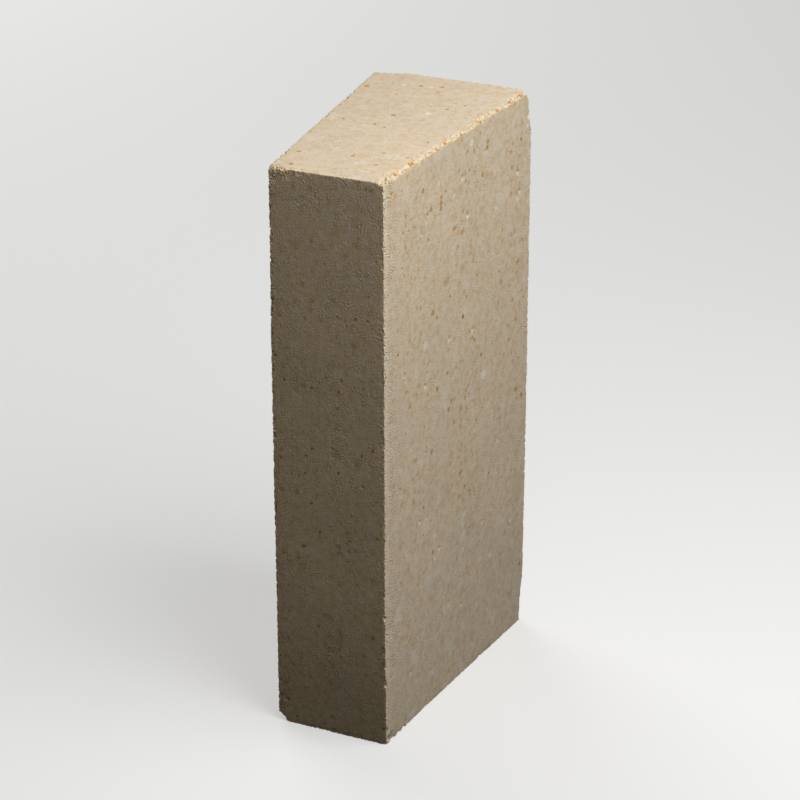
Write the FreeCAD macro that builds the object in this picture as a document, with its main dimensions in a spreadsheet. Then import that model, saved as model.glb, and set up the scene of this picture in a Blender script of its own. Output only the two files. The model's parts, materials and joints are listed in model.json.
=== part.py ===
import FreeCAD, Part
import Sketcher
import os
from collections import namedtuple

# A side-arch refractory firebrick, pressed and fired in one piece. It stands on its end, as on a level floor:
# its length runs up +Z from the base end at Z 0. Its section is a symmetric wedge. The narrow face, which
# turns to the fire in an arch or ring, looks along -Y, and the wide face looks along +Y. The two broad bed
# faces look along +X and -X and lean towards each other at the narrow face, so that bricks laid bed to bed
# close a ring. The origin is the middle of the base end.

# Every size in mm or degrees: its name in the sheet, its value, and what it is on the brick.
SIZES = [
    ("brick_length", 230.0, "length, from the base end to the top end"),
    ("brick_depth", 114.0, "depth, from the narrow face to the wide face"),
    ("wide_thickness", 65.0, "thickness across the wide face"),
    ("narrow_thickness", 45.0, "thickness across the narrow face"),
    ("arris_radius", 0.8, "rounding that the die and handling leave on a sound arris"),
    ("spall_leg", 1.6, "each leg of the strip broken off the arris of the top end and the +X bed"),
    ("scar_heading", 45.0, "heading of a scar's axis from the X axis, halfway between the two faces"),
]

# The scars where a corner was knocked off in handling. Fireclay breaks like glass, in a shallow bowl, so each
# scar is a ball's surface that bites into the corner. In a row, end is 1 at the top and 0 at the base, bed is
# 1 at +X and -1 at -X, and face is 1 at the wide face and -1 at the narrow one. Then come the scar's own
# sizes: the bowl's radius, the bite from the sharp corner, and the tilt of its axis from the level.
Scar = namedtuple("Scar", "name end bed face radius bite tilt")
SCARS = [
    Scar("top_right_back", 1, 1, 1, 24.0, 2.0, 14.0),
    Scar("top_left_back", 1, -1, 1, 16.0, 1.8, 40.0),
    Scar("top_left_front", 1, -1, -1, 14.0, 1.6, 30.0),
    Scar("base_right_back", 0, 1, 1, 60.0, 1.6, 5.0),
    Scar("base_left_front", 0, -1, -1, 12.0, 1.5, 35.0),
]


def make_sheet(doc):
    """The sheet of sizes, one row for each, with the name as its alias."""
    sheet = doc.addObject("Spreadsheet::Sheet", "Sizes")
    rows = list(SIZES)
    for scar in SCARS:
        rows.append((scar.name + "_radius", scar.radius, "radius of this scar's bowl"))
        rows.append((scar.name + "_bite", scar.bite, "how far it cuts in from the sharp corner"))
        rows.append((scar.name + "_tilt", scar.tilt, "tilt of its axis from the level"))
    for number, (name, value, note) in enumerate(rows, start=1):
        sheet.set(f"A{number}", note)
        sheet.set(f"B{number}", str(value))
        sheet.setAlias(f"B{number}", name)
    doc.recompute()
    return sheet


def origin_plane(body, role):
    """One of the body's own three planes."""
    return next(feature for feature in body.Origin.OriginFeatures if feature.Role == role)


def draw_section(doc, body):
    """The wedge section on the level plane, centred on the origin and symmetric across X."""
    sketch = body.newObject("Sketcher::SketchObject", "WedgeSection")
    sketch.AttachmentSupport = [(origin_plane(body, "XY_Plane"), "")]
    sketch.MapMode = "FlatFace"
    half_depth = doc.Sizes.brick_depth / 2
    half_narrow = doc.Sizes.narrow_thickness / 2
    half_wide = doc.Sizes.wide_thickness / 2
    corners = [
        FreeCAD.Vector(-half_narrow, -half_depth, 0),
        FreeCAD.Vector(half_narrow, -half_depth, 0),
        FreeCAD.Vector(half_wide, half_depth, 0),
        FreeCAD.Vector(-half_wide, half_depth, 0),
    ]
    for here, there in zip(corners, corners[1:] + corners[:1]):
        sketch.addGeometry(Part.LineSegment(here, there), False)
    # The four lines run narrow face, +X bed, wide face, -X bed.
    narrow, wide = 0, 2
    start, end = 1, 2
    centre, upright_axis = -1, -2
    for side in range(len(corners)):
        following = (side + 1) % len(corners)
        sketch.addConstraint(Sketcher.Constraint("Coincident", side, end, following, start))
    for side in (narrow, wide):
        sketch.addConstraint(Sketcher.Constraint("Symmetric", side, start, side, end, upright_axis))
    driven = [
        ("narrow_thickness", "Sizes.narrow_thickness",
         Sketcher.Constraint("DistanceX", narrow, start, narrow, end, 2 * half_narrow)),
        ("wide_thickness", "Sizes.wide_thickness",
         Sketcher.Constraint("DistanceX", wide, end, wide, start, 2 * half_wide)),
        ("depth_to_narrow", "Sizes.brick_depth / 2",
         Sketcher.Constraint("DistanceY", narrow, start, centre, start, half_depth)),
        ("depth_to_wide", "Sizes.brick_depth / 2",
         Sketcher.Constraint("DistanceY", centre, start, wide, start, half_depth)),
    ]
    for name, expression, constraint in driven:
        index = sketch.addConstraint(constraint)
        sketch.renameConstraint(index, name)
        sketch.setExpression("Constraints." + name, expression)
    doc.recompute()
    return sketch


def press_body(doc, body, sketch):
    """The full wedge, with every arris still sharp, as it leaves the die."""
    pad = body.newObject("PartDesign::Pad", "Pressing")
    pad.Profile = sketch
    pad.setExpression("Length", "Sizes.brick_length")
    doc.recompute()
    return pad


def is_spalled(edge, sheet):
    """True for the arris of the top end and the +X bed, whose middle is the only one there far out in +X."""
    middle = edge.CenterOfMass
    return middle.z == sheet.brick_length and middle.x > sheet.narrow_thickness / 4


def break_long_arris(doc, body, pad):
    """The strip that broke off along one whole arris leaves a narrow flat."""
    names = []
    for number, edge in enumerate(pad.Shape.Edges, start=1):
        if is_spalled(edge, doc.Sizes):
            names.append(f"Edge{number}")
    chamfer = body.newObject("PartDesign::Chamfer", "SpalledArris")
    chamfer.Base = (pad, names)
    chamfer.setExpression("Size", "Sizes.spall_leg")
    doc.recompute()
    return chamfer


def wear_arrises(doc, body, chamfer):
    """Every arris is rounded a little, the two borders of the broken strip among them."""
    fillet = body.newObject("PartDesign::Fillet", "WornArrises")
    fillet.Base = (chamfer, [""])
    fillet.UseAllEdges = True
    fillet.setExpression("Radius", "Sizes.arris_radius")
    doc.recompute()
    return fillet


def knock_corner(doc, body, scar):
    """One bowl-shaped scar. The ball's centre stands off the sharp corner, along the scar's axis."""
    bowl = body.newObject("PartDesign::SubtractiveSphere", "Scar_" + scar.name)
    bowl.AttachmentSupport = [(origin_plane(body, "XY_Plane"), "")]
    bowl.MapMode = "FlatFace"
    thickness = "wide_thickness" if scar.face > 0 else "narrow_thickness"
    stand_off = f"(Sizes.{scar.name}_radius - Sizes.{scar.name}_bite)"
    level = f"{stand_off} * cos(Sizes.{scar.name}_tilt)"
    rise = f"{stand_off} * sin(Sizes.{scar.name}_tilt)"
    places = {
        "x": f"{scar.bed} * (Sizes.{thickness} / 2 + {level} * cos(Sizes.scar_heading))",
        "y": f"{scar.face} * (Sizes.brick_depth / 2 + {level} * sin(Sizes.scar_heading))",
        "z": f"Sizes.brick_length + {rise}" if scar.end else f"-({rise})",
    }
    for axis, place in places.items():
        bowl.setExpression("AttachmentOffset.Base." + axis, place)
    bowl.setExpression("Radius", f"Sizes.{scar.name}_radius")
    doc.recompute()
    return bowl


def check(doc, body):
    """Stops with a plain message if any feature failed or the brick isn't one sound solid."""
    for thing in doc.Objects:
        if "Invalid" in thing.State or "Error" in thing.State:
            raise RuntimeError(f"{thing.Label} failed: {thing.State}")
    shape = body.Shape
    if shape.isNull() or not shape.isValid() or len(shape.Solids) != 1:
        raise RuntimeError(f"{body.Label} isn't one valid solid")


def main():
    doc = FreeCAD.newDocument("side_arch_firebrick")
    make_sheet(doc)
    brick = doc.addObject("PartDesign::Body", "Brick")
    brick.Label = "firebrick"
    sketch = draw_section(doc, brick)
    pad = press_body(doc, brick, sketch)
    chamfer = break_long_arris(doc, brick, pad)
    worn = wear_arrises(doc, brick, chamfer)
    volume = worn.Shape.Volume
    for scar in SCARS:
        bowl = knock_corner(doc, brick, scar)
        print(f"{scar.name} takes {volume - bowl.Shape.Volume:.1f} mm3")
        volume = bowl.Shape.Volume
    check(doc, brick)
    os.makedirs("parts", exist_ok=True)
    brick.Shape.exportStep(os.path.join("parts", brick.Label + ".step"))
    box = brick.Shape.optimalBoundingBox(False)
    print(f"firebrick {box.XLength:.2f} x {box.YLength:.2f} x {box.ZLength:.2f} mm, {volume / 1000:.1f} cm3")


main()
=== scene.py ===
# %% [markdown]
# # A side-arch firebrick
#
# The object is one refractory brick, pressed from fireclay and crushed grog and fired in one piece. It stands
# on its end on a pale floor. The CAD model gives its true size. This script makes the brick that is seen: a
# dense mesh with the wear of a handled brick, and a fireclay finish made of nodes.
#
# The first step loads the CAD model. Everything after it is in metres and in the same frame, so nothing has
# to be fitted.

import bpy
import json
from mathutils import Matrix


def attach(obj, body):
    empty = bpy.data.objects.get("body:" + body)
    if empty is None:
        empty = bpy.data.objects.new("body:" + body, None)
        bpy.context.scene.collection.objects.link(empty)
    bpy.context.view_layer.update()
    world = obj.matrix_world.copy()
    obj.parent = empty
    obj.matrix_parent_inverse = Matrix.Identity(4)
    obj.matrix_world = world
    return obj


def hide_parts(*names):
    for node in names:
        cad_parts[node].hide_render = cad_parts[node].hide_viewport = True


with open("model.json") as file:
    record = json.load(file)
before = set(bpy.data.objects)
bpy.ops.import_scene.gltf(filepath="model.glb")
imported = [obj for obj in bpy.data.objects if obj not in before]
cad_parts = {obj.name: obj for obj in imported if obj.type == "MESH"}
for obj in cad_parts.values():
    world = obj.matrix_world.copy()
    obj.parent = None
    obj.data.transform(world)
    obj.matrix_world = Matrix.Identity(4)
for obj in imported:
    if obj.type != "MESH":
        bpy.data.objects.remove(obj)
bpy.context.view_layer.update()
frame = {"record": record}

# %% [markdown]
# Every face of the brick carries a mount in the CAD record, with a point on the face and the way it looks.
# Those six mounts are all that is needed to lay out the wedge: the two ends give the length, the narrow and
# the wide face give the depth, and the right bed gives the thickness anywhere, from its lean.

# %% Read the wedge from the mounts
import bpy
import json
import math
from mathutils import Vector

mounts = {mount["name"]: mount for mount in frame["record"]["mounts"]}
length = mounts["top_end"]["pos_m"][2]
half_depth = mounts["wide_face"]["pos_m"][1]
half_middle = mounts["bed_right"]["pos_m"][0]
bed_axis = mounts["bed_right"]["axis"]
widening = -bed_axis[1] / bed_axis[0]
half_narrow = half_middle - widening * half_depth
half_wide = half_middle + widening * half_depth
print(f"length {length:.3f}, depth {2 * half_depth:.3f}, {2 * half_narrow:.4f} to {2 * half_wide:.4f} thick")

# %% [markdown]
# ## The pressed wedge
#
# A firebrick starts as a plain block in a steel die, so a cube is a fair start for it. The cube could be
# drawn to the wedge by eye, but here its narrow face is scaled to the width that the mounts give. Operators
# act on all that is selected, and the loaded CAD model is selected, so everything is deselected first.

# %% Add the block and give it its size
bpy.ops.object.select_all(action="DESELECT")
bpy.ops.mesh.primitive_cube_add(size=1, location=(0, 0, length / 2))
brick = bpy.context.object
brick.name = "fireclay_brick"
brick.data.name = "fireclay_brick"
brick.scale = (2 * half_wide, 2 * half_depth, length)
bpy.ops.object.transform_apply(location=True, rotation=True, scale=True)
print("block", tuple(brick.dimensions))

# %% Draw the narrow face in
def pick(mesh, part, wanted):
    """Selects the faces or edges of a mesh for which wanted(face or edge) is true, and nothing else."""
    for kind in (mesh.vertices, mesh.edges, mesh.polygons):
        kind.foreach_set("select", [False] * len(kind))
    chosen = [item for item in getattr(mesh, part) if wanted(item)]
    for item in chosen:
        item.select = True
    return len(chosen)


def edit(mode):
    """Goes into edit mode with faces or edges as what is picked."""
    bpy.ops.object.mode_set(mode="EDIT")
    bpy.ops.mesh.select_mode(type=mode)


pick(brick.data, "polygons", lambda face: face.normal.y < -0.9)
edit("FACE")
narrowing = half_narrow / half_wide
bpy.ops.transform.resize(value=(narrowing, 1, 1), center_override=(0, -half_depth, length / 2))
bpy.ops.object.mode_set(mode="OBJECT")
print("wedge has", len(brick.data.polygons), "faces")

# %% [markdown]
# The wear needs points to move, and evenly spaced ones. So the wedge is cut into near-square cells first: the
# edges along one direction are picked and subdivided, which cuts clean rings right round it. A modifier then
# splits each cell evenly until a cell is about half a millimetre wide, as small as a grain of the clay.

# %% Cut the wedge into even cells
CELL = 0.0163

for direction, span in enumerate((half_wide * 2, half_depth * 2, length)):
    def runs_along(edge, direction=direction):
        here, there = (brick.data.vertices[index].co for index in edge.vertices)
        step = (there - here).normalized()
        return abs(step[direction]) > 0.9

    pick(brick.data, "edges", runs_along)
    edit("EDGE")
    bpy.ops.mesh.subdivide(number_cuts=round(span / CELL) - 1)
    bpy.ops.object.mode_set(mode="OBJECT")
print("cells", len(brick.data.polygons))

# %% Split the cells to grain size
SPLITS = 5

splitting = brick.modifiers.new("Split", "SUBSURF")
splitting.subdivision_type = "SIMPLE"
splitting.levels = SPLITS
splitting.render_levels = SPLITS
bpy.ops.object.modifier_apply(modifier=splitting.name)
print("small faces", len(brick.data.polygons), "each about", round(CELL / 2**SPLITS * 1000, 2), "mm")

# %% [markdown]
# Most of the wear is at the arrises, and their crumbs are finer still. So the small faces within a few
# millimetres of an arris are cut in four once more. A small face lies near an arris where two of its three
# depths are small: the one under its own face of the brick, and the one under the next.

# %% Split the faces along the arrises once more
ARRIS_REACH = 0.003


def near_arris(face):
    """True for a small face close to two sides of the wedge."""
    middle = face.center
    to_bed = half_middle + widening * middle.y - abs(middle.x)
    to_end = min(middle.z, length - middle.z)
    return sorted((to_bed, half_depth - abs(middle.y), to_end))[1] < ARRIS_REACH


print("small faces along the arrises", pick(brick.data, "polygons", near_arris))
edit("FACE")
bpy.ops.mesh.subdivide(number_cuts=1)
bpy.ops.object.mode_set(mode="OBJECT")

# %% [markdown]
# ## The wear
#
# A handled firebrick isn't sharp. Its arrises crumble grain by grain, a long strip has broken off the arris
# between the top end and the right bed, and knocks have taken shallow bowls out of its corners. Brushes in
# sculpt mode could do this by hand, but then nobody could repeat it. Geometry Nodes can: they work out for
# each point how far it lies from every arris and move it inwards by a rule.
#
# Nodes are easier to read in code when a few helpers place and wire them. They serve the finish too.

# %% Helpers that place and wire plain nodes
def feed(tree, socket, value):
    """Wires another node's output into a socket, or types a plain value in."""
    if isinstance(value, bpy.types.NodeSocket):
        tree.links.new(value, socket)
    else:
        socket.default_value = value


def maths(tree, operation, *values):
    """One Math node."""
    node = tree.nodes.new("ShaderNodeMath")
    node.operation = operation
    for socket, value in zip(node.inputs, values):
        feed(tree, socket, value)
    return node.outputs["Value"]


def vectors(tree, operation, *values):
    """One Vector Math node. Its answer is a number for LENGTH and DISTANCE, and else a vector."""
    node = tree.nodes.new("ShaderNodeVectorMath")
    node.operation = operation
    for socket, value in zip(node.inputs, values):
        feed(tree, socket, value)
    return node.outputs["Value" if operation in ("LENGTH", "DISTANCE") else "Vector"]


def scaled(tree, vector, by):
    """A vector made longer or shorter by a number."""
    node = tree.nodes.new("ShaderNodeVectorMath")
    node.operation = "SCALE"
    feed(tree, node.inputs[0], vector)
    feed(tree, node.inputs["Scale"], by)
    return node.outputs["Vector"]


def split(tree, vector):
    """The three parts of a place, a direction or a colour."""
    node = tree.nodes.new("ShaderNodeSeparateXYZ")
    feed(tree, node.inputs[0], vector)
    return tuple(node.outputs)


def join(tree, **parts):
    """A vector made of the parts X, Y and Z that are given. A part that isn't given is nothing."""
    node = tree.nodes.new("ShaderNodeCombineXYZ")
    for name, value in parts.items():
        feed(tree, node.inputs[name], value)
    return node.outputs[0]


def ramp(tree, value, low, high, to_low=0.0, to_high=1.0):
    """Carries a value from one range to another, smoothly, and holds it at both ends."""
    node = tree.nodes.new("ShaderNodeMapRange")
    node.interpolation_type = "SMOOTHSTEP"
    for name, given in (
        ("Value", value), ("From Min", low), ("From Max", high), ("To Min", to_low), ("To Max", to_high)
    ):
        feed(tree, node.inputs[name], given)
    return node.outputs["Result"]


print("seven helpers for plain nodes")

# %% Helpers that make noise and cells
NOISE_STEP = (37.1, -51.7, 23.9)
CELLS_STEP = (19.3, 43.9, -31.7)


def noise(tree, place, size, detail=2.0, seed=0, output="Fac"):
    """Cloudy noise from 0 to 1, with blotches about size mm wide. The seed moves it elsewhere."""
    node = tree.nodes.new("ShaderNodeTexNoise")
    moved = vectors(tree, "ADD", place, tuple(step * seed for step in NOISE_STEP))
    feed(tree, node.inputs["Vector"], moved)
    feed(tree, node.inputs["Scale"], 1 / size)
    feed(tree, node.inputs["Detail"], detail)
    return node.outputs[output]


def cells(tree, place, size, seed=0):
    """Scattered middles about size mm apart: the distance to the nearest, in mm, and its own colour."""
    node = tree.nodes.new("ShaderNodeTexVoronoi")
    moved = vectors(tree, "ADD", place, tuple(step * seed for step in CELLS_STEP))
    feed(tree, node.inputs["Vector"], moved)
    feed(tree, node.inputs["Scale"], 1 / size)
    return maths(tree, "MULTIPLY", node.outputs["Distance"], size), node.outputs["Color"]


def shaken(tree, place, size, by, seed):
    """A place, shaken by noise, so that what is drawn round a point has a broken outline."""
    shake = noise(tree, place, size, 1.0, seed, output="Color")
    shake = vectors(tree, "SUBTRACT", shake, (0.5, 0.5, 0.5))
    return vectors(tree, "ADD", place, vectors(tree, "MULTIPLY", shake, (by, by, by)))


print("three helpers for chance")

# %% Start the tree of the wear
wear = bpy.data.node_groups.new("Brick wear", "GeometryNodeTree")
wear.interface.new_socket("Geometry", in_out="INPUT", socket_type="NodeSocketGeometry")
wear.interface.new_socket("Geometry", in_out="OUTPUT", socket_type="NodeSocketGeometry")
wear_in = wear.nodes.new("NodeGroupInput")
wear_out = wear.nodes.new("NodeGroupOutput")
MM = 1000.0
BASE, TOP = 0.0, length * MM
FRONT, BACK = -half_depth * MM, half_depth * MM
spot = vectors(wear, "MULTIPLY", wear.nodes.new("GeometryNodeInputPosition").outputs[0], (MM, MM, MM))
x, y, z = split(wear, spot)
print("inside the tree, places are in millimetres, from", FRONT, "to", BACK, "and from", BASE, "to", TOP)

# %% [markdown]
# How far is a point from the nearest bed, the nearest long face and the nearest end? With those three depths,
# the distance from an arris is simply the sum of two of them, because one of the two is nothing on the face
# that the point lies on. The signs say which way is inwards.

# %% Measure the depth under each pair of faces
half_here = maths(wear, "MULTIPLY_ADD", y, widening, half_middle * MM)
depth_x = maths(wear, "SUBTRACT", half_here, maths(wear, "ABSOLUTE", x))
depth_y = maths(wear, "SUBTRACT", BACK, maths(wear, "ABSOLUTE", y))
above_middle = maths(wear, "SUBTRACT", z, TOP / 2)
depth_z = maths(wear, "SUBTRACT", TOP / 2, maths(wear, "ABSOLUTE", above_middle))
side_x, side_y, side_z = (maths(wear, "SIGN", value) for value in (x, y, above_middle))
print("depths measured under the beds, the long faces and the ends")

# %% [markdown]
# The crumbling of an arris is a cut: near the arris, every point that lies under the cut's plane is pushed
# back to it. A cut has two legs, one down each face. Constant legs would be a machined chamfer. Noise makes
# them long and short, so grains seem to have dropped out, and a second, slower noise that counts only at its
# peaks gives a nick here and there.

# %% Make what is uneven about an arris
GRAIN, GRIT, LUMP, NICK = 1.0, 0.5, 4.5, 6.0
NICK_STARTS, NICK_FULL, DEEPEST_NICK = 0.56, 0.76, 0.9
GRIT_SHARE = 0.5


def uneven(size, detail, seed):
    """Noise that swings both ways round nothing."""
    return maths(wear, "SUBTRACT", noise(wear, spot, size, detail, seed), 0.5)


crumbs = uneven(GRAIN, 2.0, seed=1)
grit = uneven(GRIT, 1.0, seed=8)
crumbs = maths(wear, "MULTIPLY_ADD", grit, GRIT_SHARE, crumbs)
lumps = uneven(LUMP, 2.0, seed=3)
nicks = ramp(wear, noise(wear, spot, NICK, 2.0, seed=2), NICK_STARTS, NICK_FULL, 0.0, DEEPEST_NICK)
print("grit every", GRIT, "mm, crumbs", GRAIN, "mm, lumps", LUMP, "mm, nicks", NICK, "mm")

# %% Set the legs of the cut on a sound arris
SOUND_LEG = 0.15
LEAST_LEG = 0.04
UNEVEN = {"crumbs": crumbs, "grit": grit, "lumps": lumps, "nicks": nicks}


def leg(mean, **unevenness):
    """A leg of about the mean length, in mm, made uneven as asked, and never quite nothing."""
    reach = mean
    for kind, strength in unevenness.items():
        reach = maths(wear, "MULTIPLY_ADD", UNEVEN[kind], strength, reach)
    return maths(wear, "MAXIMUM", reach, LEAST_LEG)


sound = leg(SOUND_LEG, crumbs=6.2, nicks=1.0)
print("a sound arris has lost about", SOUND_LEG, "mm, and more at its nicks")

# %% [markdown]
# Three arrises differ. Along the top of the right bed a strip of the top end has come away, and it is widest
# near the front corner. At the left end of the top's front arris the narrow face has crumbled a little way
# down. The upright arris in front has lost many small grains on the narrow face's side, and crumbles more
# towards its foot.

# %% Set the legs on the arrises that differ
def along(value, here, there, at_here, at_there=0.0):
    """A number that changes smoothly from one place to another along the brick."""
    return ramp(wear, value, here, there, at_here, at_there)


on_right = maths(wear, "GREATER_THAN", x, 0.0)
on_top = maths(wear, "GREATER_THAN", above_middle, 0.0)
on_front = maths(wear, "LESS_THAN", y, 0.0)
on_strip = maths(wear, "MULTIPLY", on_right, on_top)
on_brow = maths(wear, "MULTIPLY", on_front, on_top)
on_nose = maths(wear, "MULTIPLY", on_front, on_right)

strip_in = leg(along(y, FRONT + 4, FRONT + 45, 3.3, 2.6), crumbs=4.0, lumps=6.0)
strip_down = leg(along(y, FRONT + 4, FRONT + 24, 1.3, 0.4), crumbs=2.0, lumps=2.2)
nose_out = leg(-0.1, crumbs=5.0, grit=4.0)
nose_back = leg(along(z, 60.0, BASE, 0.4, 0.6), crumbs=3.4, lumps=along(z, 60.0, BASE, 0.0, 1.0))
brow_down = leg(along(x, -18.0, -8.0, 0.5, 0.1), crumbs=1.1)
brow_in = leg(along(x, -18.0, -6.0, 0.4, 0.08), crumbs=1.3)
print("legs set for the strip, the upright arris in front and the brow above the narrow face")

# %% Choose the legs for each place
def choose(where, there):
    """An arris's own leg where a mask is 1, and a sound arris's leg where it is 0."""
    return maths(wear, "MULTIPLY_ADD", where, maths(wear, "SUBTRACT", there, sound), sound)


strip_in, strip_down = choose(on_strip, strip_in), choose(on_strip, strip_down)
brow_down, brow_in = choose(on_brow, brow_down), choose(on_brow, brow_in)
nose_out, nose_back = choose(on_nose, nose_out), choose(on_nose, nose_back)
print("every other arris has a sound arris's legs")


# %% Push the points near an arris back to the cut
def cut_back(depth_a, depth_b, leg_a, leg_b):
    """How far a point moves in from each of two faces that meet, and how deep in the cut it was, in mm."""
    slope_a, slope_b = maths(wear, "DIVIDE", 1.0, leg_a), maths(wear, "DIVIDE", 1.0, leg_b)
    inside_a = maths(wear, "MULTIPLY", depth_a, slope_a)
    inside = maths(wear, "MULTIPLY_ADD", depth_b, slope_b, inside_a)
    short_by = maths(wear, "MAXIMUM", maths(wear, "SUBTRACT", 1.0, inside), 0.0)
    squares = maths(wear, "MULTIPLY_ADD", slope_b, slope_b, maths(wear, "MULTIPLY", slope_a, slope_a))
    step = maths(wear, "DIVIDE", short_by, squares)
    gone = maths(wear, "MULTIPLY", short_by, maths(wear, "ADD", leg_a, leg_b))
    return maths(wear, "MULTIPLY", step, slope_a), maths(wear, "MULTIPLY", step, slope_b), gone


upright_x, upright_y, upright_gone = cut_back(depth_x, depth_y, nose_out, nose_back)
bed_x, bed_z, bed_gone = cut_back(depth_x, depth_z, strip_in, strip_down)
face_y, face_z, face_gone = cut_back(depth_y, depth_z, brow_in, brow_down)
gone = maths(wear, "MAXIMUM", maths(wear, "MAXIMUM", upright_gone, bed_gone), face_gone)
push_x = maths(wear, "MULTIPLY", side_x, maths(wear, "ADD", upright_x, bed_x))
push_y = maths(wear, "MULTIPLY", side_y, maths(wear, "ADD", upright_y, face_y))
push_z = maths(wear, "MULTIPLY", side_z, maths(wear, "ADD", bed_z, face_z))
cut = vectors(wear, "SUBTRACT", spot, join(wear, X=push_x, Y=push_y, Z=push_z))
print("three families of arrises cut")

# %% [markdown]
# A knock breaks fireclay like glass, in a shallow bowl. Each bowl is the surface of a ball that overlaps the
# brick: points inside the ball are pushed out to its surface, away from its middle. A bowl is given by the
# place that was knocked, the way it looks out, the ball's radius and how deep it bites, all in millimetres.
# Large shallow ones take the corners, and small ones are the chips and plucked grains seen in the photograph.

# %% Name places on the brick
def bed(y_place, z_place, side=1):
    """A place on a bed, on the right one unless side is -1."""
    return (side * (half_middle * MM + widening * y_place), y_place, z_place)


def narrow_face(x_place, z_place):
    """A place on the narrow face."""
    return (x_place, FRONT, z_place)


def top_end(x_place, y_place):
    """A place on the top end."""
    return (x_place, y_place, TOP)


def spots(face, *marks):
    """Marks on one face, each given by its two places there and its radius."""
    return [(face(first, second), radius) for first, second, radius in marks]


OUT_OF_BED = Vector(bed_axis)
print("the right bed's middle is at", tuple(round(value, 2) for value in bed(0.0, TOP / 2)))

# %% List the knocks
CORNER_KNOCKS = [
    # the place, the way it looks out, the radius and the bite
    (bed(BACK, TOP), (0.64, 0.67, 0.38), 18.0, 3.5),
    (bed(BACK, TOP - 5), (0.9, 0.42, 0), 6.0, 1.9),
    (bed(BACK, TOP - 10), (0.75, 0.6, 0.1), 40.0, 1.3),
    (bed(BACK, TOP, -1), (-0.5, 0.6, 0.6), 14.0, 2.2),
    (bed(BACK, TOP, -1), (-0.08, 0.5, 0.86), 100.0, 2.1),
    (bed(FRONT, TOP, -1), (-0.2, -0.6, 0.75), 7.0, 0.9),
    ((-19.0, FRONT, TOP), (0.0, -0.62, 0.78), 26.0, 0.75),
    (bed(FRONT, TOP), (0.35, -0.8, 0.45), 5.0, 0.6),
    (bed(BACK, BASE + 8), (0.7, 0.7, -0.06), 70.0, 1.8),
    (bed(FRONT, BASE, -1), (-0.6, -0.6, -0.6), 12.0, 2.8),
    (bed(BACK, BASE, -1), (-0.5, 0.6, -0.6), 10.0, 1.2),
]
ARRIS_KNOCKS = [
    (bed(BACK, 222.5), (0.8, 0.6, 0), 1.6, 0.9),
    (bed(BACK, 218.0), (0.8, 0.6, 0.2), 1.4, 0.7),
    (bed(BACK, 16.0), (0.9, 0.5, 0), 1.3, 1.1),
    (bed(FRONT, 177.0, -1), (-0.8, -0.6, 0), 2.4, 0.7),
    (bed(21.0, TOP, -1), (-0.7, 0, 0.7), 2.6, 0.9),
    (bed(28.5, TOP, -1), (-0.7, 0, 0.7), 2.2, 0.9),
    (bed(20.0, BASE), (0.7, 0, -0.7), 2.2, 1.0),
    (bed(FRONT, 55.3), (0.8, -0.6, 0), 2.1, 0.9),
    (bed(FRONT, 26.4), (0.8, -0.6, 0), 1.5, 0.8),
    (bed(FRONT, 34.3), (0.9, -0.4, 0), 1.3, 0.7),
    (bed(BACK - 2.2, 220.5), (0.95, 0.3, 0), 2.0, 0.8),
    (bed(FRONT + 5.0, BASE), (0.6, 0, -0.8), 2.0, 1.3),
    (bed(FRONT + 9.5, BASE), (0.6, 0, -0.8), 3.0, 1.0),
    (bed(FRONT + 14.0, BASE), (0.6, 0, -0.8), 2.0, 1.3),
    (bed(FRONT + 2.0, 2.2), (0.9, 0, -0.4), 1.2, 0.9),
]
FLAKES = spots(
    bed,
    (-24.8, 206.6, 1.7), (2.0, 212.8, 2.4), (6.0, 196.5, 2.0), (10.5, 148.0, 2.0), (-8.0, 151.5, 1.2),
    (-26.0, 139.4, 1.5), (46.0, 200.5, 2.6), (20.0, 217.3, 2.0), (-29.0, 201.0, 1.3), (47.5, 192.0, 1.4),
    (-15.0, 66.0, 1.4), (20.5, 61.5, 1.2), (-30.0, 84.0, 1.5), (33.0, 92.0, 1.6), (4.0, 32.0, 1.3),
    (-37.0, 22.0, 1.2),
)
FLAKE_BITE = 0.32
print(len(CORNER_KNOCKS), "corner knocks,", len(ARRIS_KNOCKS), "chips,", len(FLAKES), "flakes")


# %% Carve the bowls
ROUGH_SHARE, MOST_ROUGH = 1.2, 1.8


def carve(place, knocked, outward, radius, bite):
    """Pushes what lies inside a ball out to its surface. Crumbs make the surface rough."""
    middle = Vector(knocked) + Vector(outward).normalized() * (radius - bite)
    from_middle = vectors(wear, "SUBTRACT", place, tuple(middle))
    rough_radius = maths(wear, "MULTIPLY_ADD", crumbs, min(MOST_ROUGH, bite * ROUGH_SHARE), radius)
    short_by = maths(wear, "SUBTRACT", rough_radius, vectors(wear, "LENGTH", from_middle))
    shove = scaled(wear, vectors(wear, "NORMALIZE", from_middle), maths(wear, "MAXIMUM", short_by, 0.0))
    return vectors(wear, "ADD", place, shove)


worn = cut
for knock in CORNER_KNOCKS + ARRIS_KNOCKS:
    worn = carve(worn, *knock)
for flake, flake_radius in FLAKES:
    worn = carve(worn, flake, OUT_OF_BED, flake_radius, FLAKE_BITE)
print("the wear has", len(wear.nodes), "nodes so far")

# %% [markdown]
# The pressed faces aren't perfect either. Below its middle the brick is a little thicker than at its ends:
# that swell stretches it sideways, most at the beds. The front arris stands a little to the right, most at
# its foot, and the top end isn't quite square, a little low on the left. All faces wave very gently, and
# where a grain was plucked out of the skin there is a small pit. Where the skin is gone, the grains of the
# body stand up like pebbles. Waves, pits and pebbles move a point along its own face's normal.

# %% Add the swell, the lean and the tilt
SWELL, SWELL_HEIGHT = 0.3, 95.0
LEAN, TOE, TOE_HEIGHT, TOE_REACH = 0.18, 0.72, 65.0, 30.0
TILT, LIFT = 0.3, 0.08

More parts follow.
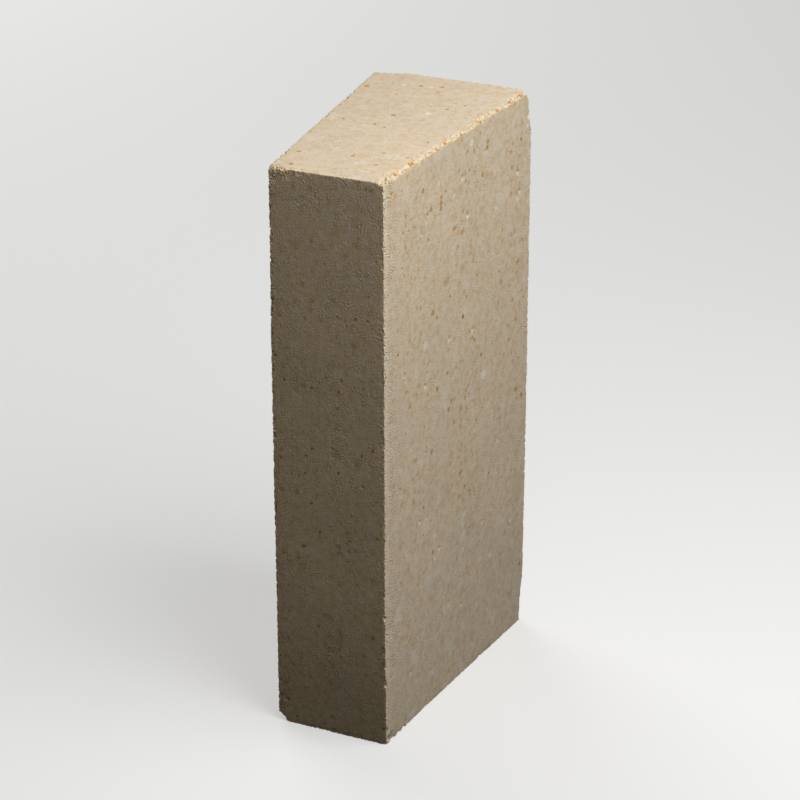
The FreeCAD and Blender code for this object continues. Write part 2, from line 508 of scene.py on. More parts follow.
from_swell = maths(wear, "DIVIDE", maths(wear, "SUBTRACT", z, SWELL_HEIGHT), TOP - SWELL_HEIGHT)
bulge = maths(wear, "SUBTRACT", 1.0, maths(wear, "MULTIPLY", from_swell, from_swell))
across = maths(wear, "DIVIDE", x, half_here)
stretch = maths(wear, "MULTIPLY", across, maths(wear, "MULTIPLY", bulge, SWELL))
tilt = maths(wear, "MULTIPLY_ADD", across, TILT, LIFT)
lift = maths(wear, "MULTIPLY", tilt, maths(wear, "DIVIDE", z, TOP))
lean = along(z, TOE_HEIGHT, BASE + 5.0, LEAN, TOE)
lean = maths(wear, "MULTIPLY", lean, along(y, FRONT, FRONT + TOE_REACH, 1.0))
stretch = maths(wear, "MULTIPLY_ADD", lean, on_right, stretch)
print("swell", SWELL, "mm, lean", LEAN, "to", TOE, "mm, top tilted by", TILT, "mm to each side")

# %% Add the waves and the pits
WAVE, WAVE_SIZE = 0.5, 48.0
PIT, PIT_RADIUS, PIT_EDGE = 0.3, 1.4, 0.7
PIT_SPACING, PIT_SHARE = 6.5, 0.25

wave = maths(wear, "MULTIPLY", uneven(WAVE_SIZE, 1.0, seed=4), WAVE)
to_pit, own_colour = cells(wear, shaken(wear, spot, size=1.2, by=1.6, seed=5), PIT_SPACING, seed=1)
pit_chance = split(wear, own_colour)[0]
pit_radius = ramp(wear, pit_chance, 0.0, PIT_SHARE, PIT_RADIUS, 0.0)
in_pit = ramp(wear, maths(wear, "SUBTRACT", pit_radius, to_pit), 0.0, PIT_EDGE)
pitted = maths(wear, "MULTIPLY", in_pit, PIT)
print("waves", WAVE, "mm high and", WAVE_SIZE, "mm long, pits", PIT, "mm deep")

# %% Find where the skin is gone
BOWL_LOSS, CUT_LOSS = 1.6, 0.5
RUBBED = spots(narrow_face, (-20.5, 227.0, 5.0), (-15.0, 228.5, 4.0), (-10.0, 229.5, 2.5))
RUBBED_LOSS, RUBBED_CORE = 0.38, 0.4
SKIN_THINS, SKIN_GONE = 0.16, 0.42

carved = maths(wear, "MULTIPLY", vectors(wear, "DISTANCE", worn, cut), BOWL_LOSS)
lost = maths(wear, "MAXIMUM", carved, maths(wear, "MULTIPLY", gone, CUT_LOSS))
for rubbed_place, rubbed_radius in RUBBED:
    off = vectors(wear, "DISTANCE", spot, rubbed_place)
    nearness = ramp(wear, off, rubbed_radius * RUBBED_CORE, rubbed_radius, RUBBED_LOSS, 0.0)
    lost = maths(wear, "MAXIMUM", lost, maths(wear, "MULTIPLY_ADD", crumbs, nearness, nearness))
skin_gone = ramp(wear, lost, SKIN_THINS, SKIN_GONE)
print("the skin is gone in the bowls, at the deeper cuts and at", len(RUBBED), "rubbed places")

# %% Let the grains stand up there
PEBBLE, PEBBLE_HEIGHT = 1.3, 0.45
PEBBLE_TOP, PEBBLE_FOOT = 0.2, 0.8

from_pebble = cells(wear, spot, PEBBLE, seed=6)[0]
between = ramp(wear, from_pebble, PEBBLE_TOP, PEBBLE_FOOT, 0.0, PEBBLE_HEIGHT)
standing = maths(wear, "MULTIPLY", skin_gone, along(y, FRONT, FRONT + 2.0, 0.5, 1.0))
between = maths(wear, "MULTIPLY", between, standing)
print("pebbles", PEBBLE, "mm apart and", PEBBLE_HEIGHT, "mm high, half as high on the narrow face")

# %% Move every point along its normal
normal = wear.nodes.new("GeometryNodeInputNormal").outputs[0]
normal_up = split(wear, normal)[2]
off_ends = maths(wear, "SUBTRACT", 1.0, maths(wear, "ABSOLUTE", normal_up))
sunk = maths(wear, "MULTIPLY_ADD", off_ends, wave, maths(wear, "ADD", pitted, between))
shift = vectors(wear, "SUBTRACT", vectors(wear, "SUBTRACT", worn, scaled(wear, normal, sunk)), spot)
shift = vectors(wear, "ADD", shift, join(wear, X=stretch, Z=lift))
print("the ends stay flat, and the other faces wave")

# %% [markdown]
# The finish needs to know a few things that only the wear knows: where the skin is gone, how near the next
# arris is, which points belong to the narrow face, where the rim of the bed beside the front arris is rubbed
# pale, and where grains stand proud of the skin. The photograph shows those grains on the narrow face, in
# patches that catch the light, and on the bed beside the front arris. All five are kept as numbers on the
# points. Each patch is a soft ball round a place.

# %% Find where the grains stand proud
GRAINY = spots(
    narrow_face,
    (2.0, 149.0, 15.0), (-12.0, 152.0, 12.0), (16.0, 144.0, 9.0), (2.0, 178.0, 7.0), (-8.0, 221.0, 10.0),
    (8.0, 214.0, 9.0), (4.0, 188.0, 7.0), (-12.0, 68.0, 11.0), (10.0, 70.0, 13.0), (16.0, 72.0, 8.0),
    (6.0, 34.0, 12.0), (14.0, 28.0, 9.0), (-6.0, 84.0, 4.0), (3.0, 83.5, 4.0), (12.0, 84.0, 3.5),
    (-19.0, 226.0, 8.0),
)
PATCH_CORE = 0.45

grainy = 0.0
for patch, patch_radius in GRAINY:
    reach = vectors(wear, "DISTANCE", spot, patch)
    patchy = ramp(wear, reach, patch_radius * PATCH_CORE, patch_radius, 1.0, 0.0)
    grainy = maths(wear, "MAXIMUM", grainy, patchy)
beside_front = maths(wear, "MULTIPLY", on_nose, along(depth_y, 3.0, 14.0, 0.8))
grainy = maths(wear, "MAXIMUM", grainy, beside_front)
print(len(GRAINY), "grainy patches on the narrow face, and a band on the bed beside it")

# %% Find the narrow face, the pale rim and the arrises
ON_FACE = 0.02
ARRIS_FULL, ARRIS_FADED = 0.4, 2.4

fire_side = maths(wear, "MULTIPLY", on_front, maths(wear, "LESS_THAN", depth_y, ON_FACE))
rim = maths(wear, "MULTIPLY", on_nose, maths(wear, "LESS_THAN", depth_x, ON_FACE))
rim = maths(wear, "MULTIPLY", rim, along(depth_y, 1.0, 6.0, 1.0))
off_arris = maths(wear, "ADD", depth_x, depth_y)
off_arris = maths(wear, "MINIMUM", off_arris, maths(wear, "ADD", depth_x, depth_z))
off_arris = maths(wear, "MINIMUM", off_arris, maths(wear, "ADD", depth_y, depth_z))
near_an_arris = ramp(wear, off_arris, ARRIS_FULL, ARRIS_FADED, 1.0, 0.0)
print("a point less than", ON_FACE, "mm under a face belongs to it")


# %% Remember them on the points and wear the brick
def remember(geometry, name, value):
    """Keeps a number on every point under a name that the finish can read."""
    store = wear.nodes.new("GeometryNodeStoreNamedAttribute")
    store.data_type = "FLOAT"
    store.domain = "POINT"
    feed(wear, store.inputs["Name"], name)
    feed(wear, store.inputs["Value"], value)
    wear.links.new(geometry, store.inputs["Geometry"])
    return store.outputs["Geometry"]


kept = remember(wear_in.outputs[0], "broken", skin_gone)
kept = remember(kept, "grainy", grainy)
kept = remember(kept, "fire_side", fire_side)
kept = remember(kept, "rim", rim)
kept = remember(kept, "arris", near_an_arris)
moving = wear.nodes.new("GeometryNodeSetPosition")
wear.links.new(kept, moving.inputs["Geometry"])
feed(wear, moving.inputs["Offset"], vectors(wear, "MULTIPLY", shift, (1 / MM, 1 / MM, 1 / MM)))
wear.links.new(moving.outputs["Geometry"], wear_out.inputs[0])

wearing = brick.modifiers.new("Wear", "NODES")
wearing.node_group = wear
bpy.ops.object.modifier_apply(modifier=wearing.name)
print("worn brick", tuple(round(side, 4) for side in brick.dimensions))

# %% [markdown]
# Half-millimetre cells are needed at the chips and wasted on the flat. The Decimate modifier merges cells
# where that changes the shape least, so the chips keep theirs.

# %% Thin the mesh
MOST_TRIANGLES = 190_000
SMOOTHED_UNDER = math.radians(55)

thinning = brick.modifiers.new("Thin", "DECIMATE")
thinning.ratio = MOST_TRIANGLES / (2 * len(brick.data.polygons))
bpy.ops.object.modifier_apply(modifier=thinning.name)
bpy.ops.object.shade_smooth_by_angle(angle=SMOOTHED_UNDER)
print("triangles", sum(len(face.vertices) - 2 for face in brick.data.polygons))

# %% [markdown]
# A bake of the finish needs a flat map of the skin. A brick has six sides, so its map has six pieces: each
# triangle goes to the side that it faces most, and is laid down there as it is seen from straight in front.
# The four long sides stand in a row, and the two ends lie above them. Spread over the map, a millimetre is
# the same length everywhere.

# %% Read the mesh and name its six sides
import numpy as np

SIDES = [
    # the axis and sign that it faces, what runs across the map, what runs up it, and its row
    (1, -1, (1, 0, 0), (0, 0, 1), 0), (0, 1, (0, 1, 0), (0, 0, 1), 0), (1, 1, (-1, 0, 0), (0, 0, 1), 0),
    (0, -1, (0, -1, 0), (0, 0, 1), 0), (2, 1, (0, 1, 0), (-1, 0, 0), 1), (2, -1, (0, 1, 0), (1, 0, 0), 1),
]


def read(items, name, width):
    """One value of every vertex, loop or face as an array."""
    values = np.empty(len(items) * width, dtype=np.int32 if width == 1 else np.float32)
    items.foreach_get(name, values)
    return values if width == 1 else values.reshape(-1, width)


mesh = brick.data
corners = read(mesh.vertices, "co", 3)[read(mesh.loops, "vertex_index", 1)]
normals = np.repeat(read(mesh.polygons, "normal", 3), read(mesh.polygons, "loop_total", 1), axis=0)
axis = np.abs(normals).argmax(axis=1)
sign = np.sign(np.take_along_axis(normals, axis[:, None], axis=1)[:, 0])
print("face corners to lay out", len(corners), "on", len(SIDES), "sides")

# %% Lay the skin out flat
GAP = 0.003

flat = np.zeros((len(corners), 2))
left, bottom, tallest = GAP, GAP, 0.0
row = 0
for facing, facing_sign, to_right, upwards, in_row in SIDES:
    if in_row != row:
        left, bottom, row = GAP, bottom + tallest + GAP, in_row
    own = (axis == facing) & (sign == facing_sign)
    spread = corners[own] @ np.array([to_right, upwards], dtype=float).T
    least, most = spread.min(axis=0), spread.max(axis=0)
    flat[own] = spread - least + (left, bottom)
    left += most[0] - least[0] + GAP
    tallest = max(tallest, most[1] - least[1])
flat /= 4 * GAP + flat.max()
while mesh.uv_layers:
    mesh.uv_layers.remove(mesh.uv_layers[0])
mesh.uv_layers.new(name="OFBake").data.foreach_set("uv", flat.ravel())
print("map filled up to", flat.max(axis=0).round(3))

# %% [markdown]
# ## The finish
#
# Fired fireclay is dull, cream to buff, and full of grog: crushed fired clay whose iron shows as brown and
# orange specks, with a few white grains. An image of a brick would look the same on every brick and stretch
# over the chips. Noise and cells in three dimensions cut through the body as its real grains do, so the
# specks run on round every arris and into every chip.

# %% Start the fireclay
clay = bpy.data.materials.new("Fireclay")
clay.use_nodes = True
finish = clay.node_tree
shader = finish.nodes["Principled BSDF"]
coordinates = finish.nodes.new("ShaderNodeTexCoord")
grid = finish.nodes.new("ShaderNodeMapping")
grid.inputs["Scale"].default_value = (MM, MM, MM)
feed(finish, grid.inputs["Vector"], coordinates.outputs["Object"])
here = grid.outputs[0]
up_brick = split(finish, here)[2]
print("the finish reads places in millimetres too")


# %% Helpers for the finish
def tint(factor, first, second, mode="MIX"):
    """Lays a second colour over a first by a factor."""
    node = finish.nodes.new("ShaderNodeMix")
    node.data_type = "RGBA"
    node.blend_type = mode
    feed(finish, node.inputs[0], factor)
    for socket, colour in zip((node.inputs[6], node.inputs[7]), (first, second)):
        feed(finish, socket, colour if isinstance(colour, bpy.types.NodeSocket) else (*colour, 1))
    return node.outputs[2]


def times(first, *others):
    """The product of masks and numbers."""
    for other in others:
        first = maths(finish, "MULTIPLY", first, other)
    return first


def clouds(size, detail, seed, low, high):
    """Soft patches of the body: 0 where the noise is under low, and 1 where it is over high."""
    return ramp(finish, noise(finish, here, size, detail, seed), low, high)


def remembered(name):
    """A number that the wear kept on the points."""
    node = finish.nodes.new("ShaderNodeAttribute")
    node.attribute_name = name
    return node.outputs["Fac"]


print("four helpers for the finish")

# %% Name the colours
CREAM, BUFF, GREY_BUFF = (0.705, 0.59, 0.44), (0.60, 0.445, 0.255), (0.625, 0.55, 0.44)
CHALK, DUN, DUST = (0.75, 0.69, 0.59), (0.51, 0.445, 0.35), (0.53, 0.41, 0.265)
FIERY, AMBER, ORANGE = (0.60, 0.25, 0.03), (0.68, 0.40, 0.12), (0.55, 0.27, 0.07)
TAN, BROWN, UMBER = (0.47, 0.30, 0.13), (0.45, 0.255, 0.09), (0.27, 0.125, 0.03)
DARK, WHITE, PALE = (0.13, 0.10, 0.06), (0.86, 0.82, 0.74), (0.84, 0.73, 0.565)
RAW = (0.70, 0.58, 0.41)
# painted shade for the narrow face: a warm tint above, and a deeper shade at its foot
WARM_SHADE, DEEP_SHADE = (1.0, 0.965, 0.89), (0.78, 0.75, 0.68)
print("the body starts as", CREAM, "and raw clay is", RAW)

# %% [markdown]
# The body isn't one colour. Slow clouds of grey, warm mottling, a white bloom and brown dust lie over the
# cream. Low on the beds and on the top end the photograph shows it calmer, so the strong colours are held
# back there.

# %% The body colour, with its mottling
END_CALM, CALMED = 0.8, 0.3
CLOUDED, WARMED, DULLED, DUSTED = 0.4, 0.6, 0.35, 0.34
BLOOM, BLOOM_LOW = 0.45, 0.35

on_end = ramp(finish, up_brick, TOP - 0.7, TOP - 0.3)
on_fire_side = remembered("fire_side")
low = ramp(finish, up_brick, 10.0, 130.0, 1.0, 0.0)
low = times(low, maths(finish, "SUBTRACT", 1.0, on_fire_side))
quiet = maths(finish, "MAXIMUM", low, times(on_end, END_CALM))
calm = maths(finish, "SUBTRACT", 1.0, times(quiet, CALMED))
warmth = clouds(2.8, 3.0, 12, 0.42, 0.66)
bloom = clouds(7.0, 2.0, 13, 0.55, 0.72)
body = tint(times(clouds(26.0, 3.0, 11, 0.35, 0.65), CLOUDED), CREAM, GREY_BUFF)
body = tint(times(warmth, WARMED, calm), body, BUFF)
body = tint(times(warmth, low, DULLED), body, DUN)
body = tint(times(bloom, maths(finish, "MULTIPLY_ADD", low, BLOOM_LOW, BLOOM)), body, CHALK)
body = tint(times(clouds(0.6, 2.0, 14, 0.3, 0.7), DUSTED), body, DUST)
print("five layers of mottling")

# %% [markdown]
# Specks of grog come in many sizes, from a grain of sand to a pea. Each kind is a set of scattered cells, of
# which a share holds a speck. A speck fades at its edge, and its outline is broken, because crushed grog
# isn't round: loose on the large soft specks, tight on the small ones and chipped on the grains laid one by
# one.
# Chance gives each speck its own radius, its own colour between two, and its own strength.

# %% Helpers for the specks
END_WARMTH = 0.55
SMALLEST, FAINTEST = 0.35, 0.35


def specks(place, size, share, radius, seed, soft):
    """Chance specks: how strongly a place is in one, and two numbers that are the speck's own."""
    distance, colour = cells(finish, place, size, seed)
    chance, hue, depth = split(finish, colour)
    reach = ramp(finish, chance, 0.0, share, radius, radius * SMALLEST)
    there = maths(finish, "LESS_THAN", chance, share)
    inner = maths(finish, "MULTIPLY", reach, 1 - soft)
    return times(ramp(finish, distance, inner, reach, 1.0, 0.0), there), hue, depth


def speckle(body, place, size, share, radius, seed, colours, strength, soft=0.6):
    """Lays chance specks over the body. Each lies between two colours, and is faint or strong."""
    mask, hue, depth = specks(place, size, share, radius, seed, soft)
    colour = tint(ramp(finish, hue, 0.2, 0.9), *colours)
    colour = tint(times(on_end, END_WARMTH), colour, AMBER)
    opacity = times(ramp(finish, depth, 0.0, 1.0, strength * FAINTEST, strength), calm)
    return tint(times(mask, opacity), body, colour)


print("the smallest speck of a kind is", SMALLEST, "of the largest")

# %% The specks of grog
loose = shaken(finish, here, size=1.4, by=1.5, seed=7)
tight = shaken(finish, here, size=0.6, by=0.5, seed=7)
chipped = shaken(finish, here, size=1.1, by=1.1, seed=7)
GROG = [
    # outline, size of the cells, share of them with a speck, its radius, seed, colours, strength, softness
    (loose, 8.0, 0.6, 3.4, 21, (TAN, BROWN), 0.55, 0.95),
    (loose, 3.4, 0.6, 1.75, 22, (TAN, ORANGE), 0.8, 0.85),
    (tight, 1.5, 0.6, 0.68, 23, (TAN, ORANGE), 0.65, 0.8),
    (tight, 4.2, 0.5, 1.0, 24, (UMBER, ORANGE), 0.65, 0.6),
    (loose, 5.0, 0.35, 0.9, 25, (WHITE, CHALK), 0.6, 0.7),
    (tight, 7.0, 0.25, 0.5, 26, (DARK, UMBER), 0.6, 0.5),
]
for kind in GROG:
    body = speckle(body, *kind)
print(len(GROG), "kinds of grog")

# %% The warm grains that show along the arrises, and painted highlights on the pale grains that stand proud
RUBBED_THIN, RIM_PALE, PAINTED_GLINT = 0.4, 0.4, 0.75

rubbed = tint(RUBBED_THIN, body, RAW)
rubbed = speckle(rubbed, tight, 1.6, 0.6, 0.85, 28, (AMBER, ORANGE), 0.9)
rubbed = speckle(rubbed, tight, 2.4, 0.45, 0.75, 29, (UMBER, ORANGE), 0.9)
body = tint(remembered("arris"), body, rubbed)
body = tint(times(remembered("rim"), RIM_PALE), body, PALE)
proud = remembered("grainy")
# painted highlight: pale specks on the proud grains where they would catch the light, over their bump relief
painted_glints = speckle(body, tight, 1.2, 0.6, 0.5, 37, (WHITE, PALE), 1.0)
body = tint(times(proud, PAINTED_GLINT), body, painted_glints)
print("grains laid where the wear remembered an arris, the rim and the grainy patches")

# %% [markdown]
# The largest grains are where the photograph shows them. Each is a ball in the clay with a ragged outline,
# given by its place on a face and its radius in millimetres.

# %% List the largest grains
BROWN_GRAINS = spots(
    bed,
    (-20.3, 167.4, 1.5), (-14.5, 206.6, 1.2), (-14.4, 208.6, 1.4), (-14.3, 210.8, 1.2), (-16.8, 134.8, 1.5),
    (-8.0, 122.5, 1.4), (-5.8, 125.2, 1.2), (18.0, 135.0, 1.3), (21.5, 221.0, 1.4), (21.0, 219.0, 1.3),
    (-17.2, 164.0, 1.0), (-9.0, 138.2, 1.2), (-23.9, 197.5, 1.0), (34.0, 181.0, 0.9), (32.0, 164.8, 0.9),
    (-28.0, 217.8, 1.3), (-22.0, 208.8, 1.3), (-11.0, 212.0, 0.9), (1.6, 191.5, 1.2), (40.5, 132.6, 1.0),
    (-4.2, 194.8, 1.2), (52.4, 104.2, 1.3), (47.5, 108.5, 1.5), (53.8, 26.8, 1.4), (-27.2, 89.2, 1.2),
    (-21.0, 110.2, 1.5), (1.8, 91.2, 1.2), (25.5, 80.8, 1.2), (-19.8, 66.8, 1.2),
) + spots(
    narrow_face,
    (18.3, 125.0, 1.0), (22.0, 133.6, 1.1),
) + spots(
    top_end,
    (19.8, -12.0, 1.1), (16.2, 30.5, 1.0), (-4.2, 10.5, 1.2), (-19.5, -38.5, 1.2),
)
UMBER_GRAINS = spots(
    narrow_face,
    (5.8, 151.1, 0.8), (-6.4, 145.9, 0.8), (-3.8, 86.5, 0.8), (8.5, 85.2, 0.9), (-10.8, 79.2, 1.1),
    (18.0, 45.8, 0.9), (-7.2, 98.2, 0.9), (9.4, 96.2, 0.6), (4.5, 146.2, 0.8), (16.9, 186.0, 0.6),
    (-9.5, 110.2, 0.8), (19.8, 88.8, 0.8), (-19.5, 114.8, 0.9), (-14.5, 3.5, 0.8), (13.8, 121.8, 0.8),
    (-22.0, 150.2, 0.8), (-22.0, 91.8, 0.8), (22.0, 42.8, 0.8), (-8.8, 117.5, 0.8), (-6.5, 121.0, 0.8),
    (4.2, 113.0, 0.8),
)
ORANGE_GRAINS = spots(
    bed,
    (-7.2, 169.0, 1.0), (12.5, 143.5, 1.1), (48.0, 163.6, 1.1), (17.6, 209.2, 1.3), (-51.0, 224.8, 1.2),
    (-25.0, 206.6, 1.1), (4.3, 210.8, 1.1), (5.5, 222.3, 0.9), (-40.5, 212.5, 1.0), (-42.6, 206.8, 0.9),
    (BACK - 1.0, 14.6, 1.3), (-46.8, 160.8, 1.1), (FRONT + 1.0, 155.2, 0.9), (43.2, 229.0, 0.9),
) + spots(
    top_end,
    (-0.5, 46.8, 1.3), (-8.5, 45.0, 1.4), (-13.2, 32.5, 0.9), (-27.8, 37.0, 1.4), (-6.8, -1.1, 1.1),
    (-1.8, -3.0, 0.9), (9.8, -28.5, 1.1), (0.8, -35.5, 1.2), (-19.8, -0.5, 1.0), (0.6, 40.8, 0.9),
    (19.7, -29.5, 1.0), (-16.0, -51.5, 1.2), (23.0, -34.0, 1.6), (25.0, -16.2, 1.4), (25.4, -9.7, 1.2),
    (28.8, 31.0, 1.2), (30.6, 50.5, 1.3), (29.6, 42.0, 1.1), (27.6, 17.0, 1.4), (22.0, -45.4, 1.2),
    (27.0, 2.0, 1.1), (12.2, -40.5, 1.1),
)
PALE_GRAINS = spots(
    bed,
    (-16.0, 217.0, 1.2), (-26.0, 156.0, 2.4), (20.0, 126.0, 2.6), (46.0, 190.0, 1.6), (28.6, 192.0, 0.9),
    (-1.0, 49.2, 1.1), (44.5, 51.0, 1.4), (27.5, 43.0, 1.4), (-18.8, 73.2, 1.1), (53.8, 86.8, 1.1),
    (-37.2, 117.8, 1.1), (8.8, 224.5, 1.6), (BACK - 3.4, 217.2, 1.2),
) + spots(
    narrow_face,
    (3.5, 75.0, 0.6), (-12.0, 179.0, 0.5),
) + spots(
    top_end,
    (-4.2, 45.2, 1.1), (-15.0, 43.5, 1.3), (5.3, -41.8, 1.2), (7.0, 17.0, 1.6),
)
# two dark spots on the bed at the foot of the front arris, 7.2 and 3.6 mm up, are painted shade of small pits
DARK_GRAINS_AND_PIT_SHADE = spots(
    bed,
    (2.8, 156.8, 1.2), (FRONT + 1.0, 7.2, 1.5), (FRONT + 4.0, 3.6, 1.5), (48.5, 213.5, 0.9),
    (18.0, 54.0, 0.6), (BACK - 2.0, 220.8, 0.8),
) + spots(
    top_end,
    (11.7, 24.1, 0.8), (25.0, 22.5, 0.7), (-20.0, 44.0, 0.6),
)
print("grains placed", sum(map(len, (BROWN_GRAINS, UMBER_GRAINS, ORANGE_GRAINS, PALE_GRAINS, DARK_GRAINS_AND_PIT_SHADE))))


# %% Put the largest grains in place
GRAIN_CORE = 0.5


def lay_grains(body, grains, colour, strength):
    """Lays grains of one colour over the body."""
    covered = 0.0
    for middle, radius in grains:
        distance = vectors(finish, "DISTANCE", chipped, middle)
        mark = ramp(finish, distance, radius * GRAIN_CORE, radius, 1.0, 0.0)
        covered = maths(finish, "MAXIMUM", covered, mark)
    return tint(times(covered, strength), body, colour)


body = lay_grains(body, PALE_GRAINS, WHITE, strength=0.5)
body = lay_grains(body, BROWN_GRAINS, BROWN, strength=0.85)
body = lay_grains(body, UMBER_GRAINS, UMBER, strength=0.65)
body = lay_grains(body, ORANGE_GRAINS, ORANGE, strength=0.9)
print("the fireclay has", len(finish.nodes), "nodes so far")

# %% [markdown]
# Where the skin is gone, the raw clay shows, brighter and more colourful than the skin. Dark grains go right
# through, so they are laid over both, and so is the painted shade of two small pits. A frayed edge between
# skin and raw clay looks broken, where a clean one would look painted.

# %% Raw clay where the skin is gone
INSIDE_GROG = [
    (tight, 1.7, 0.7, 1.05, 31, (FIERY, AMBER), 1.0, 0.55),
    (tight, 1.3, 0.5, 0.65, 32, (AMBER, UMBER), 0.9, 0.6),
    (tight, 2.0, 0.4, 0.8, 33, (WHITE, CHALK), 0.7, 0.6),
    (tight, 2.3, 0.3, 0.5, 34, (DARK, UMBER), 0.9, 0.5),
]

inside = RAW
for kind in INSIDE_GROG:
    inside = speckle(inside, *kind)
inside = lay_grains(inside, ORANGE_GRAINS, FIERY, strength=0.95)
frayed = maths(finish, "SUBTRACT", noise(finish, here, 0.7, 2.0, seed=27), 0.5)
raw_here = ramp(finish, maths(finish, "ADD", remembered("broken"), frayed), 0.3, 0.6)
# laid over both: the dark grains, and the painted shade of two small pits
skin = lay_grains(tint(raw_here, body, inside), DARK_GRAINS_AND_PIT_SHADE, DARK, strength=0.85)
print(len(INSIDE_GROG), "kinds of grog inside")

# %% [markdown]
# The narrow face is the one that turns to the fire. It lies in shade, which looks a little browner than the
# beds and darker towards its foot, where the light falls off towards the floor. A warm painted shade over the
# colours, only on that face, does this and keeps the specks.

# %% Paint warm shade on the face that turns to the fire
DEEP_SHADE_UNDER, WARM_SHADE_ABOVE = 8.0, 70.0

# painted shade: the narrow face's colours are warmed, and darkened most towards its foot
painted_shade = tint(ramp(finish, up_brick, DEEP_SHADE_UNDER, WARM_SHADE_ABOVE, 1.0, 0.0), WARM_SHADE, DEEP_SHADE)
feed(finish, shader.inputs["Base Color"], tint(on_fire_side, skin, painted_shade, "MULTIPLY"))
print("darkest under", DEEP_SHADE_UNDER, "mm and lightest above", WARM_SHADE_ABOVE, "mm")

# %% [markdown]
# Up close the skin is sandy. Bump gives the shading of relief that is too fine for the mesh: a fine grit all
# over, slower dimples, and round grains that stand proud in the patches that the wear remembered.

# %% The grain under the fingers
ROUGHNESS, SHEEN = 0.9, 0.1
LEAST_PROUD = 0.08
DIMPLE_HEIGHT, GRAIN_HEIGHT = 0.6, 1.35
RELIEF = 0.00034

sandy = noise(finish, here, 0.45, 2.0, seed=31)
dimples = noise(finish, here, 2.4, 2.0, seed=32)
to_grain = cells(finish, here, 0.8, 35)[0]
round_grain = ramp(finish, to_grain, 0.08, 0.4, 1.0, 0.0)
proudness = times(maths(finish, "MAXIMUM", proud, LEAST_PROUD), clouds(5.0, 2.0, 36, 0.35, 0.55))
relief = maths(finish, "MULTIPLY_ADD", dimples, DIMPLE_HEIGHT, sandy)
relief = maths(finish, "MULTIPLY_ADD", times(round_grain, proudness), GRAIN_HEIGHT, relief)
bump = finish.nodes.new("ShaderNodeBump")
bump.inputs["Strength"].default_value = 1.0
bump.inputs["Distance"].default_value = RELIEF
feed(finish, bump.inputs["Height"], relief)
feed(finish, shader.inputs["Normal"], bump.outputs["Normal"])
shader.inputs["Roughness"].default_value = ROUGHNESS
shader.inputs["Specular IOR Level"].default_value = SHEEN
print("bump up to", round(RELIEF * MM, 2), "mm for each unit of relief")

# %% Give the brick its fireclay and its place in the frame
brick.data.materials.clear()
brick.data.materials.append(clay)
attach(brick, "root")
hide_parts("firebrick")
print("the fireclay has", len(finish.nodes), "nodes in all")

# %% [markdown]
# ## The studio
#
# A plain pale floor, a soft lamp close above the right bed, a second one far behind on the left, whose light
# arrives weaker, and a pale sky that fills the shade. The key lamp only grazes the narrow face, which brings
# out its grains. The floor looks pale to the camera but throws back less light than it shows, so the shaded
# face of the brick keeps its depth.

# %% Lay the floor
FLOOR_LIT, FLOOR_SEEN, FLOOR_GLOW = (0.03, 0.027, 0.022, 1), (0.45, 0.45, 0.445, 1), 0.44


def seen_directly(tree):
    """True for light that goes straight to the camera, or by way of a mirror or glass."""
    path = tree.nodes.new("ShaderNodeLightPath")
    seen = maths(tree, "MAXIMUM", path.outputs["Is Camera Ray"], path.outputs["Is Glossy Ray"])
    return maths(tree, "MAXIMUM", seen, path.outputs["Is Transmission Ray"])


bpy.ops.object.select_all(action="DESELECT")
bpy.ops.mesh.primitive_plane_add(size=30, location=(0, 0, 0))
floor = bpy.context.object
floor.name = "floor"
floor_material = bpy.data.materials.new("Floor")
floor_material.use_nodes = True
floor_tree = floor_material.node_tree
floor_shader = floor_tree.nodes["Principled BSDF"]
floor_shader.inputs["Roughness"].default_value = ROUGHNESS
floor_shader.inputs["Specular IOR Level"].default_value = SHEEN
floor_colour = floor_tree.nodes.new("ShaderNodeMix")
floor_colour.data_type = "RGBA"
floor_seen = seen_directly(floor_tree)
feed(floor_tree, floor_colour.inputs[0], floor_seen)
floor_colour.inputs[6].default_value = FLOOR_LIT
floor_colour.inputs[7].default_value = FLOOR_SEEN
feed(floor_tree, floor_shader.inputs["Base Color"], floor_colour.outputs[2])
floor_shader.inputs["Emission Color"].default_value = (1, 1, 0.99, 1)
floor_glow = maths(floor_tree, "MULTIPLY", floor_seen, FLOOR_GLOW)
feed(floor_tree, floor_shader.inputs["Emission Strength"], floor_glow)
floor.data.materials.append(floor_material)
print("floor", tuple(floor.dimensions))

# %% Fill the sky
SKY_LIGHT, SKY_SEEN = 0.025, 0.85

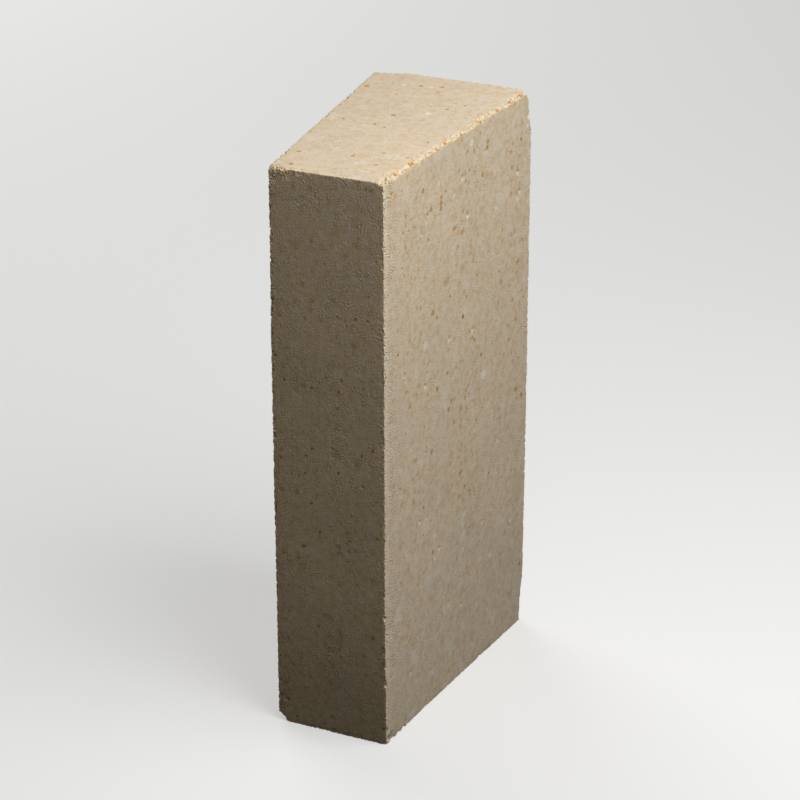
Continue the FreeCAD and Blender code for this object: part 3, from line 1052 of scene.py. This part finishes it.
world = bpy.data.worlds.new("Studio")
bpy.context.scene.world = world
world.use_nodes = True
sky_tree = world.node_tree
background = sky_tree.nodes["Background"]
background.inputs["Color"].default_value = (1, 0.9, 0.76, 1)
sky_strength = maths(sky_tree, "MULTIPLY_ADD", seen_directly(sky_tree), SKY_SEEN - SKY_LIGHT, SKY_LIGHT)
feed(sky_tree, background.inputs["Strength"], sky_strength)
print("the sky shows", SKY_SEEN, "and gives", SKY_LIGHT)


# %% Hang the lamps
def hang(name, place, aim, size, power):
    """A square soft lamp at a place, turned to what it lights."""
    light = bpy.data.lights.new(name, "AREA")
    light.size = size
    light.energy = power
    lamp = bpy.data.objects.new(name, light)
    bpy.context.scene.collection.objects.link(lamp)
    lamp.location = place
    lamp.rotation_euler = (Vector(aim) - Vector(place)).to_track_quat("-Z", "Y").to_euler()
    print(name, "lamp", power, "W")


hang("key", place=(0.325, -0.087, 0.56), aim=(0, 0, 0.1265), size=0.48, power=3.65)
hang("back", place=(-1.3, 0.95, 0.85), aim=(0, 0, 0.115), size=1.2, power=17.0)

# %% [markdown]
# The camera looks down on the brick from the left of its right bed. Its place was found by fitting the seven
# corners that show: where the brick's middle falls in the picture, how far off it is, and how long the lens
# is.

# %% Set the camera
PICTURE = 800
FOCAL = 2905.2
MIDDLE_SEEN = (392.57, 406.43)
AZIMUTH, ELEVATION = math.radians(24.573), math.radians(25.190)
DISTANCE = 1.1237
SENSOR = 36.0

forward = Vector((
    -math.sin(AZIMUTH) * math.cos(ELEVATION), math.cos(AZIMUTH) * math.cos(ELEVATION), -math.sin(ELEVATION)
))
right = Vector((math.cos(AZIMUTH), math.sin(AZIMUTH), 0))
up = right.cross(forward)
offset_right = (MIDDLE_SEEN[0] - PICTURE / 2) / FOCAL
offset_up = -(MIDDLE_SEEN[1] - PICTURE / 2) / FOCAL
camera_data = bpy.data.cameras.new("camera")
camera_data.sensor_width = SENSOR
camera_data.lens = FOCAL / PICTURE * SENSOR
camera = bpy.data.objects.new("camera", camera_data)
bpy.context.scene.collection.objects.link(camera)
to_middle = forward + offset_right * right + offset_up * up
camera.location = Vector((0, 0, length / 2)) - DISTANCE * to_middle
camera.rotation_euler = forward.to_track_quat("-Z", "Y").to_euler()
bpy.context.scene.camera = camera
bpy.context.scene.view_settings.view_transform = "Standard"
print("camera at", tuple(round(value, 3) for value in camera.location))
